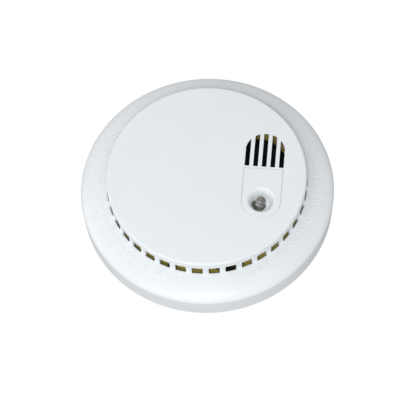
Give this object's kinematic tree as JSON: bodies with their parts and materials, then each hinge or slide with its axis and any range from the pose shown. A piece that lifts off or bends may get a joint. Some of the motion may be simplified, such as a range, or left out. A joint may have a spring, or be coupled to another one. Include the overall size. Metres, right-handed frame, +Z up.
{
  "type": "smoke detector",
  "caption": "Round wall-mounted smoke alarm: skirted cover with a raised vented disc, arched grille, tongue-shaped test button, status lamp, twist-on bracket and battery door.",
  "frame": {"origin": "centre of the bracket's back face, midway between the wall screw slots", "axes": "+Z up the wall, +X to the right seen from the front, the face looks along -Y"},
  "size_m": [0.127, 0.0275, 0.127],
  "materials": {
    "white_plastic": "satin moulded",
    "steel": "zinc plated",
    "foam": "soft foam",
    "battery_jacket": "printed jacket, left plain",
    "plated_metal": "tin plated",
    "black_plastic": "matte moulded",
    "red_wire": "soft insulation",
    "black_wire": "soft insulation",
    "board": "bare laminate",
    "brass": "rolled",
    "ceramic": "fired with silver film",
    "bronze": "rolled spring bronze",
    "smoked_lens": "dark clear resin",
    "clear_lens": "water clear resin",
    "black_resin": "moulded resin",
    "black_sleeve": "shrink sleeve",
    "ochre_coating": "dipped",
    "tan_coating": "lacquered",
    "label_film": "silver film"
  },
  "bodies": {
    "bracket": {"mounting_bracket": "white_plastic"},
    "alarm_head": {"battery": "battery_jacket", "battery_lead_black": "black_wire", "battery_lead_red": "red_wire", "battery_terminals": "plated_metal", "board_screws": "steel", "ceramic_capacitors": "ochre_coating", "chamber_base": "black_plastic", "chamber_cap": "black_plastic", "circuit_board": "board", "control_chip": "black_resin", "cover_screws": "steel", "door_hinge_pin": "steel", "driver_chip": "black_resin", "electrolytic_capacitors": "black_sleeve", "front_cover": "white_plastic", "horn_coil": "black_resin", "horn_housing": "black_plastic", "infrared_lamp": "smoked_lens", "infrared_receiver": "smoked_lens", "insect_screen": "steel", "light_trap": "black_plastic", "rating_label": "label_film", "rear_housing": "white_plastic", "resistors": "tan_coating", "snap_connector": "black_plastic", "sounder_ceramic": "ceramic", "sounder_contacts": "steel", "sounder_disc": "brass", "status_lamp": "clear_lens", "status_lamp_leads": "plated_metal", "test_contact_holder": "plated_metal", "test_contact_pad": "brass"},
    "test_button": {"test_button": "white_plastic"},
    "test_leaf": {"test_contact_leaf": "bronze"},
    "battery_door": {"battery_door": "white_plastic", "door_foam_pad": "foam"}
  },
  "joints": [
    {"name": "head_twist", "type": "hinge", "parent": "bracket", "child": "alarm_head", "pos_m": [0, 0, 0], "axis": [0, -1, 0], "range_deg": [0, 18]},
    {"name": "button_press", "type": "hinge", "parent": "alarm_head", "child": "test_button", "pos_m": [0.0279, -0.024, 0.0029], "axis": [1, 0, 0], "range_deg": [0, 4], "stiffness_Nm_per_rad": 0.7, "springref_deg": -1.72},
    {"name": "leaf_bend", "type": "hinge", "parent": "alarm_head", "child": "test_leaf", "pos_m": [0.0353, -0.01375, -0.004], "axis": [1, 0, 0], "range_deg": [0, 7.2]},
    {"name": "door_swing", "type": "hinge", "parent": "alarm_head", "child": "battery_door", "pos_m": [-0.00445, -0.0042, 0.0062], "axis": [0, 0, -1], "range_deg": [0, 100]}
  ],
  "couplings": [
    {"joint": "leaf_bend", "follows": "button_press", "ratio": 1.8}
  ]
}
